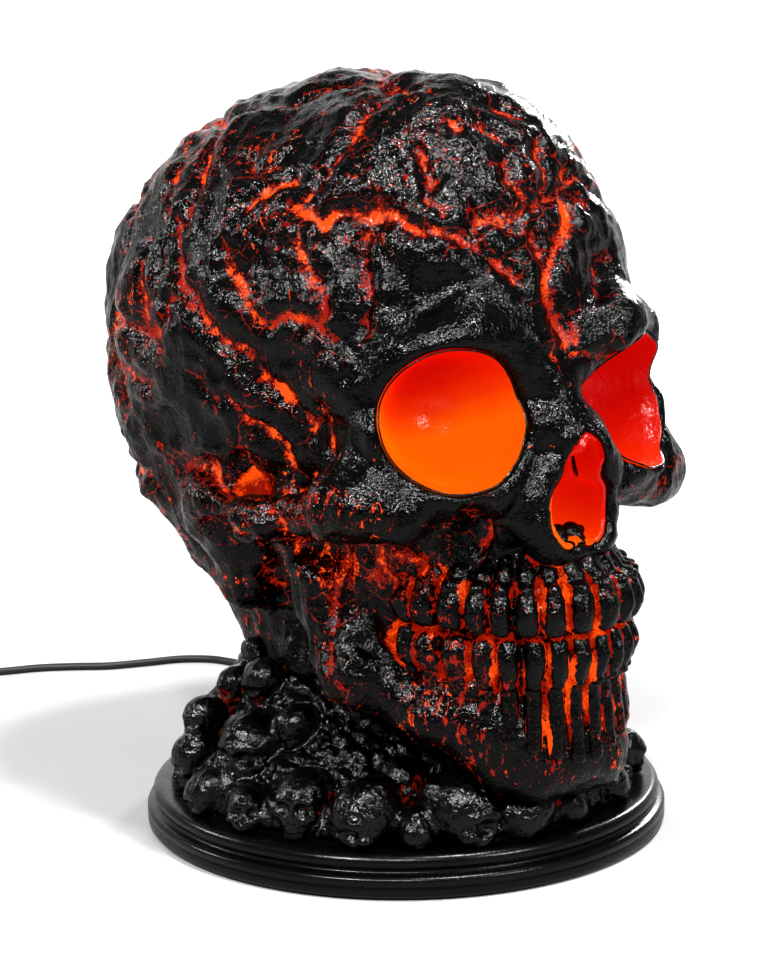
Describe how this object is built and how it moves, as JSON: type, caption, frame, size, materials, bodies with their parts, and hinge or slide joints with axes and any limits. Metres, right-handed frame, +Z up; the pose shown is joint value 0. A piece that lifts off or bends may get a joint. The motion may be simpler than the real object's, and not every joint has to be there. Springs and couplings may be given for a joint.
{
  "type": "skull lamp",
  "caption": "Table lamp shaped as a skull with lit eye sockets and cracks, on a heap of small skulls and a round plinth, with a switched lead.",
  "frame": {"origin": "centre of the foam pad's underside, on the surface that the lamp stands on", "axes": "+Z up; the face looks along -Y; -X is the skull's own right side; the lead leaves along +Y"},
  "size_m": [0.3667, 0.4682, 0.2832],
  "materials": {
    "painted_resin": "translucent orange resin under wrinkled gloss black paint, rubbed off along the cracks",
    "glowing_resin": "smooth glossy translucent orange-red resin, lit from behind",
    "black_resin": "semi-gloss black paint",
    "black_plastic": "moulded, fine grain",
    "foam_rubber": "closed-cell foam sheet",
    "white_plastic": "moulded, satin",
    "black_rubber": "soft, satin",
    "bright_steel": "plated",
    "lamp_chip": "clear cap over a lit chip"
  },
  "bodies": {
    "lamp": {"skull_casting": "painted_resin", "right_eye_bowl": "glowing_resin", "left_eye_bowl": "glowing_resin", "nose_bowl": "glowing_resin", "mound_casting": "painted_resin", "plinth_ring": "black_resin", "bottom_cover": "black_plastic", "base_pad": "foam_rubber", "light_post": "white_plastic", "lamp_board": "white_plastic", "driver_chip": "black_plastic", "board_connector": "white_plastic", "cord_grommet": "black_rubber", "cord_clamp": "black_plastic", "inner_cord": "black_rubber", "cord_run": "black_rubber", "switch_bottom": "black_plastic", "switch_top": "black_plastic", "switch_contact": "white_plastic", "cord_link": "black_rubber", "cord_coil": "black_rubber", "cord_tail": "black_rubber", "plug_grip": "black_rubber", "plug_shell": "bright_steel", "plug_tongue": "white_plastic", "neck_screw_1": "bright_steel", "neck_screw_2": "bright_steel", "neck_screw_3": "bright_steel", "mound_screw_1": "bright_steel", "mound_screw_2": "bright_steel", "mound_screw_3": "bright_steel", "cover_screw_1": "bright_steel", "cover_screw_2": "bright_steel", "cover_screw_3": "bright_steel", "cover_screw_4": "bright_steel", "post_screw_1": "bright_steel", "post_screw_2": "bright_steel", "post_screw_3": "bright_steel", "board_screw_1": "bright_steel", "board_screw_2": "bright_steel", "clamp_screw_1": "bright_steel", "clamp_screw_2": "bright_steel", "switch_screw_1": "bright_steel", "switch_screw_2": "bright_steel", "board_lamp_1": "lamp_chip", "board_lamp_2": "lamp_chip", "board_lamp_3": "lamp_chip", "board_lamp_4": "lamp_chip", "board_lamp_5": "lamp_chip", "board_lamp_6": "lamp_chip"},
    "rocker": {"switch_rocker": "black_plastic"}
  },
  "joints": [
    {"name": "rocker_tilt", "type": "hinge", "parent": "lamp", "child": "rocker", "pos_m": [-0.09917, 0.29992, 0.0134], "axis": [0.28, 0.96, 0], "range_deg": [0, 14]}
  ]
}
